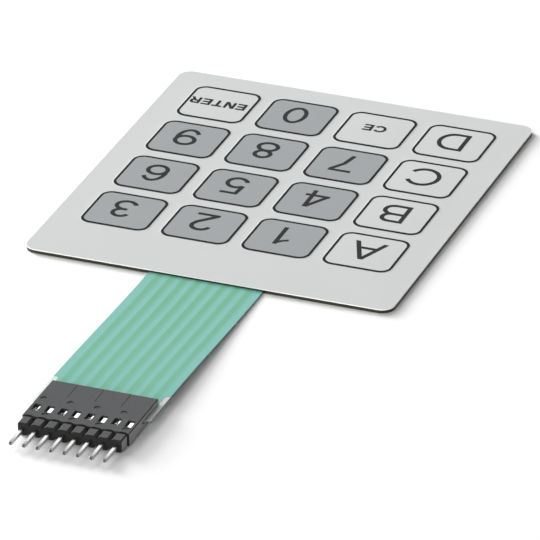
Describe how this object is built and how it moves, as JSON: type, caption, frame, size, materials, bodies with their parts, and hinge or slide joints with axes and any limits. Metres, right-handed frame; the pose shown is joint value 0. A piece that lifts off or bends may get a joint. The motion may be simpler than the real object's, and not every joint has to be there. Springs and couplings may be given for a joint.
{
  "type": "membrane keypad",
  "caption": "Flat film keypad with embossed square keys, a green flat tail, a moulded socket and a plugged-in pin header, for typing numbers into a device.",
  "frame": {"origin": "centre of the plate's rear face, on the surface that the keypad lies on", "axes": "+Z out of the printed face, +Y to the keypad's top edge where the tail leaves, +X right as the keys are read"},
  "size_m": [0.0724, 0.1508, 0.0025],
  "materials": {
    "overlay_film": "matt textured polyester film, printed light grey",
    "grey_ink": "matt grey printing ink",
    "black_ink": "matt dark printing ink",
    "adhesive": "pressure-sensitive adhesive film",
    "smoky_film": "dark printed polyester film",
    "circuit_film": "clear polyester film",
    "silver_ink": "printed silver ink",
    "spacer_film": "die-cut polyester spacer",
    "green_coat": "printed green insulating coat, satin",
    "liner_paper": "smooth silicone-coated paper",
    "socket_plastic": "moulded dark grey plastic",
    "header_plastic": "moulded black plastic",
    "contact_metal": "tinned pressed sheet metal",
    "pin_metal": "bright tinned square wire"
  },
  "bodies": {
    "root": {"graphic_overlay": "overlay_film", "grey_key_print": "grey_ink", "key_outline_print": "black_ink", "overlay_adhesive": "adhesive", "upper_circuit_film": "smoky_film", "row_conductors": "silver_ink", "contact_spacer": "spacer_film", "transfer_joints": "silver_ink", "column_conductors": "silver_ink", "row_tail_conductors": "silver_ink", "lower_circuit_film": "circuit_film", "tail_coating": "green_coat", "rear_adhesive": "adhesive", "release_liner": "liner_paper", "connector_housing": "socket_plastic", "header_body": "header_plastic", "crimp_contact_1": "contact_metal", "header_pin_1": "pin_metal", "crimp_contact_2": "contact_metal", "header_pin_2": "pin_metal", "crimp_contact_3": "contact_metal", "header_pin_3": "pin_metal", "crimp_contact_4": "contact_metal", "header_pin_4": "pin_metal", "crimp_contact_5": "contact_metal", "header_pin_5": "pin_metal", "crimp_contact_6": "contact_metal", "header_pin_6": "pin_metal", "crimp_contact_7": "contact_metal", "header_pin_7": "pin_metal", "crimp_contact_8": "contact_metal", "header_pin_8": "pin_metal"}
  },
  "joints": []
}
